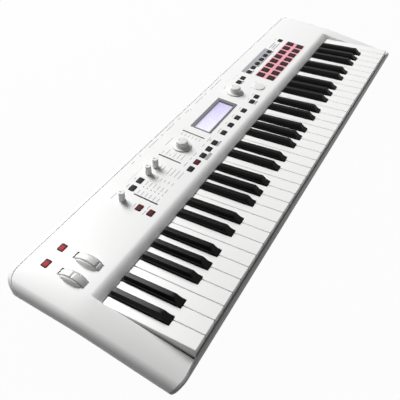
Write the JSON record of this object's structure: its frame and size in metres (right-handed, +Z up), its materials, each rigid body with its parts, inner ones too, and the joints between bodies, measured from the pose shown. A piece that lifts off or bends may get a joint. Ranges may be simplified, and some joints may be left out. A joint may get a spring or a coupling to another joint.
{
  "type": "keyboard synthesizer",
  "caption": "Slim white keyboard synthesizer with sprung keys, pitch and modulation wheels, knobs, dials, push buttons, drum pads, a display and rear sockets.",
  "frame": {"origin": "centre of the footprint on the table", "axes": "+X from the bass end to the treble end, +Y from the player to the back, +Z up"},
  "size_m": [0.935, 0.269, 0.0884],
  "materials": {
    "shell_white": "fine satin moulding",
    "rail_grey": "satin dark grey moulding",
    "base_grey": "textured dark grey moulding",
    "foot_rubber": "soft matt rubber",
    "screw_steel": "plain steel",
    "frame_plastic": "plain moulding",
    "felt": "pressed felt",
    "board": "green laminate",
    "silicone": "matt silicone",
    "dark_plastic": "plain moulding",
    "bracket_steel": "folded sheet",
    "bezel_grey": "satin dark grey moulding",
    "window": "clear sheet",
    "lcd": "backlit display face",
    "pad_glow": "translucent light guide",
    "lens_red": "clear red lens",
    "control_white": "satin moulding",
    "key_white": "smooth moulding",
    "key_black": "satin moulding",
    "wheel_white": "satin moulding",
    "button_red": "backlit red silicone",
    "button_dark": "matt dark silicone",
    "pad_dark": "matt dark silicone"
  },
  "bodies": {
    "case": {"upper_case": "shell_white", "front_rail": "rail_grey", "rear_cover": "shell_white", "lower_case": "base_grey", "rubber_feet": "foot_rubber", "case_screws": "screw_steel", "key_frame": "frame_plastic", "key_felts": "felt", "contact_board": "board", "contact_rubber": "silicone", "main_board": "board", "panel_board": "board", "panel_switches": "dark_plastic", "pot_bodies": "dark_plastic", "wheel_bracket": "bracket_steel", "jack_board": "board", "rear_jacks": "dark_plastic", "display_frame": "bezel_grey", "display_window": "window", "lcd_module": "lcd", "pad_light_frame": "pad_glow", "led_lenses": "lens_red"},
    "white_keys_a_1": {"white_keys_a_1": "key_white"},
    "white_keys_a_2": {"white_keys_a_2": "key_white"},
    "white_keys_a_3": {"white_keys_a_3": "key_white"},
    "white_keys_a_4": {"white_keys_a_4": "key_white"},
    "white_keys_a_5": {"white_keys_a_5": "key_white"},
    "white_keys_b_1": {"white_keys_b_1": "key_white"},
    "white_keys_b_2": {"white_keys_b_2": "key_white"},
    "white_keys_b_3": {"white_keys_b_3": "key_white"},
    "white_keys_b_4": {"white_keys_b_4": "key_white"},
    "white_keys_b_5": {"white_keys_b_5": "key_white"},
    "black_keys_1": {"black_keys_1": "key_black"},
    "black_keys_2": {"black_keys_2": "key_black"},
    "black_keys_3": {"black_keys_3": "key_black"},
    "black_keys_4": {"black_keys_4": "key_black"},
    "black_keys_5": {"black_keys_5": "key_black"},
    "top_c_key": {"top_c_key": "key_white"},
    "pitch_wheel": {"pitch_wheel": "wheel_white"},
    "mod_wheel": {"mod_wheel": "wheel_white"},
    "volume_knob": {"volume_knob": "control_white"},
    "tone_knob": {"tone_knob": "control_white"},
    "value_knob": {"value_knob": "control_white"},
    "mode_dial": {"mode_dial": "control_white"},
    "value_dial": {"value_dial": "control_white"},
    "cursor_pad": {"cursor_pad": "control_white"},
    "power_button": {"power_button": "dark_plastic"},
    "octave_down_button": {"octave_down_button": "button_red"},
    "octave_up_button": {"octave_up_button": "button_red"},
    "select_buttons": {"select_buttons": "button_dark"},
    "arpeggio_button": {"arpeggio_button": "button_red"},
    "rhythm_button": {"rhythm_button": "button_red"},
    "menu_buttons": {"menu_buttons": "button_dark"},
    "function_buttons": {"function_buttons": "button_dark"},
    "page_buttons": {"page_buttons": "button_dark"},
    "exit_buttons": {"exit_buttons": "button_dark"},
    "bank_buttons": {"bank_buttons": "button_dark"},
    "write_button": {"write_button": "button_dark"},
    "front_pads": {"front_pads": "pad_dark"},
    "back_pads": {"back_pads": "pad_dark"}
  },
  "joints": [
    {"name": "white_keys_a_1_turn", "type": "hinge", "parent": "case", "child": "white_keys_a_1", "pos_m": [0, 0.02098, 0.0488], "axis": [1, 0, 0], "range_deg": [0, 3.75], "stiffness_Nm_per_rad": 6, "springref_deg": -2.86},
    {"name": "white_keys_a_2_turn", "type": "hinge", "parent": "case", "child": "white_keys_a_2", "pos_m": [0, 0.02098, 0.0488], "axis": [1, 0, 0], "range_deg": [0, 3.75], "stiffness_Nm_per_rad": 6, "springref_deg": -2.86},
    {"name": "white_keys_a_3_turn", "type": "hinge", "parent": "case", "child": "white_keys_a_3", "pos_m": [0, 0.02098, 0.0488], "axis": [1, 0, 0], "range_deg": [0, 3.75], "stiffness_Nm_per_rad": 6, "springref_deg": -2.86},
    {"name": "white_keys_a_4_turn", "type": "hinge", "parent": "case", "child": "white_keys_a_4", "pos_m": [0, 0.02098, 0.0488], "axis": [1, 0, 0], "range_deg": [0, 3.75], "stiffness_Nm_per_rad": 6, "springref_deg": -2.86},
    {"name": "white_keys_a_5_turn", "type": "hinge", "parent": "case", "child": "white_keys_a_5", "pos_m": [0, 0.02098, 0.0488], "axis": [1, 0, 0], "range_deg": [0, 3.75], "stiffness_Nm_per_rad": 6, "springref_deg": -2.86},
    {"name": "white_keys_b_1_turn", "type": "hinge", "parent": "case", "child": "white_keys_b_1", "pos_m": [0, 0.02098, 0.0488], "axis": [1, 0, 0], "range_deg": [0, 3.75], "stiffness_Nm_per_rad": 4.5, "springref_deg": -2.86},
    {"name": "white_keys_b_2_turn", "type": "hinge", "parent": "case", "child": "white_keys_b_2", "pos_m": [0, 0.02098, 0.0488], "axis": [1, 0, 0], "range_deg": [0, 3.75], "stiffness_Nm_per_rad": 4.5, "springref_deg": -2.86},
    {"name": "white_keys_b_3_turn", "type": "hinge", "parent": "case", "child": "white_keys_b_3", "pos_m": [0, 0.02098, 0.0488], "axis": [1, 0, 0], "range_deg": [0, 3.75], "stiffness_Nm_per_rad": 4.5, "springref_deg": -2.86},
    {"name": "white_keys_b_4_turn", "type": "hinge", "parent": "case", "child": "white_keys_b_4", "pos_m": [0, 0.02098, 0.0488], "axis": [1, 0, 0], "range_deg": [0, 3.75], "stiffness_Nm_per_rad": 4.5, "springref_deg": -2.86},
    {"name": "white_keys_b_5_turn", "type": "hinge", "parent": "case", "child": "white_keys_b_5", "pos_m": [0, 0.02098, 0.0488], "axis": [1, 0, 0], "range_deg": [0, 3.75], "stiffness_Nm_per_rad": 4.5, "springref_deg": -2.86},
    {"name": "black_keys_1_turn", "type": "hinge", "parent": "case", "child": "black_keys_1", "pos_m": [0, 0.02098, 0.0488], "axis": [1, 0, 0], "range_deg": [0, 3.75], "stiffness_Nm_per_rad": 7.5, "springref_deg": -2.86},
    {"name": "black_keys_2_turn", "type": "hinge", "parent": "case", "child": "black_keys_2", "pos_m": [0, 0.02098, 0.0488], "axis": [1, 0, 0], "range_deg": [0, 3.75], "stiffness_Nm_per_rad": 7.5, "springref_deg": -2.86},
    {"name": "black_keys_3_turn", "type": "hinge", "parent": "case", "child": "black_keys_3", "pos_m": [0, 0.02098, 0.0488], "axis": [1, 0, 0], "range_deg": [0, 3.75], "stiffness_Nm_per_rad": 7.5, "springref_deg": -2.86},
    {"name": "black_keys_4_turn", "type": "hinge", "parent": "case", "child": "black_keys_4", "pos_m": [0, 0.02098, 0.0488], "axis": [1, 0, 0], "range_deg": [0, 3.75], "stiffness_Nm_per_rad": 7.5, "springref_deg": -2.86},
    {"name": "black_keys_5_turn", "type": "hinge", "parent": "case", "child": "black_keys_5", "pos_m": [0, 0.02098, 0.0488], "axis": [1, 0, 0], "range_deg": [0, 3.75], "stiffness_Nm_per_rad": 7.5, "springref_deg": -2.86},
    {"name": "top_c_key_turn", "type": "hinge", "parent": "case", "child": "top_c_key", "pos_m": [0, 0.02098, 0.0488], "axis": [1, 0, 0], "range_deg": [0, 3.75], "stiffness_Nm_per_rad": 1.5, "springref_deg": -2.86},
    {"name": "pitch_wheel_turn", "type": "hinge", "parent": "case", "child": "pitch_wheel", "pos_m": [-0.4155, 0.05697, 0.04713], "axis": [-1, 0, 0], "range_deg": [-40, 40], "stiffness_Nm_per_rad": 0.15},
    {"name": "mod_wheel_turn", "type": "hinge", "parent": "case", "child": "mod_wheel", "pos_m": [-0.3842, 0.05697, 0.04713], "axis": [-1, 0, 0], "range_deg": [0, 60]},
    {"name": "volume_knob_turn", "type": "hinge", "parent": "case", "child": "volume_knob", "pos_m": [-0.2675, 0.08594, 0.07203], "axis": [0, -0.0993, 0.9951], "range_deg": [-150, 150]},
    {"name": "tone_knob_turn", "type": "hinge", "parent": "case", "child": "tone_knob", "pos_m": [-0.1975, 0.08594, 0.07203], "axis": [0, -0.0993, 0.9951], "range_deg": [-150, 150]},
    {"name": "value_knob_turn", "type": "hinge", "parent": "case", "child": "value_knob", "pos_m": [-0.1777, 0.08594, 0.07203], "axis": [0, -0.0993, 0.9951], "range_deg": [-150, 150]},
    {"name": "mode_dial_turn", "type": "hinge", "parent": "case", "child": "mode_dial", "pos_m": [-0.1102, 0.07699, 0.07114], "axis": [0, -0.0993, 0.9951], "range_deg": [-120, 120]},
    {"name": "value_dial_turn", "type": "hinge", "parent": "case", "child": "value_dial", "pos_m": [0.0875, 0.07699, 0.07114], "axis": [0, -0.0993, 0.9951], "continuous": true},
    {"name": "cursor_pad_press", "type": "slide", "parent": "case", "child": "cursor_pad", "axis": [0, 0.0993, -0.9951], "range_m": [0, 0.0007], "stiffness_N_per_m": 1500, "springref_m": -0.0003},
    {"name": "power_button_press", "type": "slide", "parent": "case", "child": "power_button", "axis": [0, -1, 0], "range_m": [0, 0.0012], "stiffness_N_per_m": 1000, "springref_m": -0.0004},
    {"name": "octave_down_button_press", "type": "slide", "parent": "case", "child": "octave_down_button", "axis": [0, 0.0993, -0.9951], "range_m": [0, 0.0007], "stiffness_N_per_m": 1500, "springref_m": -0.0003},
    {"name": "octave_up_button_press", "type": "slide", "parent": "case", "child": "octave_up_button", "axis": [0, 0.0993, -0.9951], "range_m": [0, 0.0007], "stiffness_N_per_m": 1500, "springref_m": -0.0003},
    {"name": "select_buttons_press", "type": "slide", "parent": "case", "child": "select_buttons", "axis": [0, 0.0993, -0.9951], "range_m": [0, 0.0007], "stiffness_N_per_m": 3000, "springref_m": -0.0003},
    {"name": "arpeggio_button_press", "type": "slide", "parent": "case", "child": "arpeggio_button", "axis": [0, 0.0993, -0.9951], "range_m": [0, 0.0007], "stiffness_N_per_m": 1500, "springref_m": -0.0003},
    {"name": "rhythm_button_press", "type": "slide", "parent": "case", "child": "rhythm_button", "axis": [0, 0.0993, -0.9951], "range_m": [0, 0.0007], "stiffness_N_per_m": 1500, "springref_m": -0.0003},
    {"name": "menu_buttons_press", "type": "slide", "parent": "case", "child": "menu_buttons", "axis": [0, 0.0993, -0.9951], "range_m": [0, 0.0007], "stiffness_N_per_m": 7500, "springref_m": -0.0003},
    {"name": "function_buttons_press", "type": "slide", "parent": "case", "child": "function_buttons", "axis": [0, 0.0993, -0.9951], "range_m": [0, 0.0007], "stiffness_N_per_m": 6000, "springref_m": -0.0003},
    {"name": "page_buttons_press", "type": "slide", "parent": "case", "child": "page_buttons", "axis": [0, 0.0993, -0.9951], "range_m": [0, 0.0007], "stiffness_N_per_m": 3000, "springref_m": -0.0003},
    {"name": "exit_buttons_press", "type": "slide", "parent": "case", "child": "exit_buttons", "axis": [0, 0.0993, -0.9951], "range_m": [0, 0.0007], "stiffness_N_per_m": 3000, "springref_m": -0.0003},
    {"name": "bank_buttons_press", "type": "slide", "parent": "case", "child": "bank_buttons", "axis": [0, 0.0993, -0.9951], "range_m": [0, 0.0007], "stiffness_N_per_m": 9000, "springref_m": -0.0003},
    {"name": "write_button_press", "type": "slide", "parent": "case", "child": "write_button", "axis": [0, 0.0993, -0.9951], "range_m": [0, 0.0007], "stiffness_N_per_m": 1500, "springref_m": -0.0003},
    {"name": "front_pads_press", "type": "slide", "parent": "case", "child": "front_pads", "axis": [0, 0.0993, -0.9951], "range_m": [0, 0.0007], "stiffness_N_per_m": 12000, "springref_m": -0.0003},
    {"name": "back_pads_press", "type": "slide", "parent": "case", "child": "back_pads", "axis": [0, 0.0993, -0.9951], "range_m": [0, 0.0007], "stiffness_N_per_m": 12000, "springref_m": -0.0003}
  ]
}
